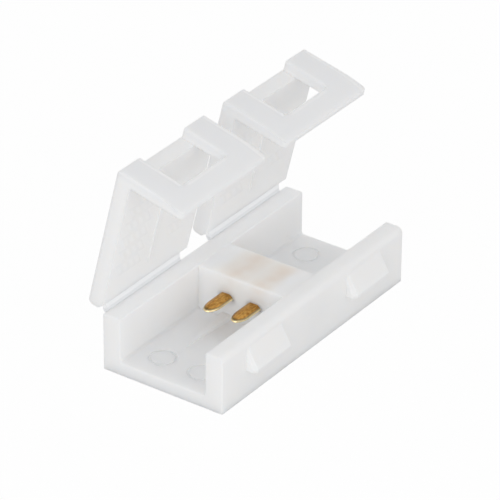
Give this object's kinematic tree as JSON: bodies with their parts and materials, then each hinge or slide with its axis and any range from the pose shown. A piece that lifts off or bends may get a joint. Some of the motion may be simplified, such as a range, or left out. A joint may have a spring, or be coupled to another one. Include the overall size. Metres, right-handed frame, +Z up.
{
  "type": "led strip connector",
  "caption": "Open tray that joins two led strip ends over spring contacts, with hinged lids that clip over its wall.",
  "frame": {"origin": "centre of the tray's bottom face", "axes": "+X along the channel, +Y from the catch wall to the hinge wall, +Z up out of the channel"},
  "size_m": [0.026, 0.0144, 0.0191],
  "materials": {
    "milky_plastic": "satin, natural milky and lightly see-through",
    "contact_brass": "polished, gold-toned"
  },
  "bodies": {
    "tray_body": {"tray": "milky_plastic", "front_contact": "contact_brass", "rear_contact": "contact_brass"},
    "near_lid_body": {"near_lid": "milky_plastic"},
    "far_lid_body": {"far_lid": "milky_plastic"}
  },
  "joints": [
    {"name": "near_lid_hinge", "type": "hinge", "parent": "tray_body", "child": "near_lid_body", "pos_m": [-0.00715, 0.0062, 0.00545], "axis": [-1, 0, 0], "range_deg": [-76.5, 103.5]},
    {"name": "far_lid_hinge", "type": "hinge", "parent": "tray_body", "child": "far_lid_body", "pos_m": [0.00715, 0.0062, 0.00545], "axis": [-1, 0, 0], "range_deg": [-76.5, 103.5]}
  ]
}
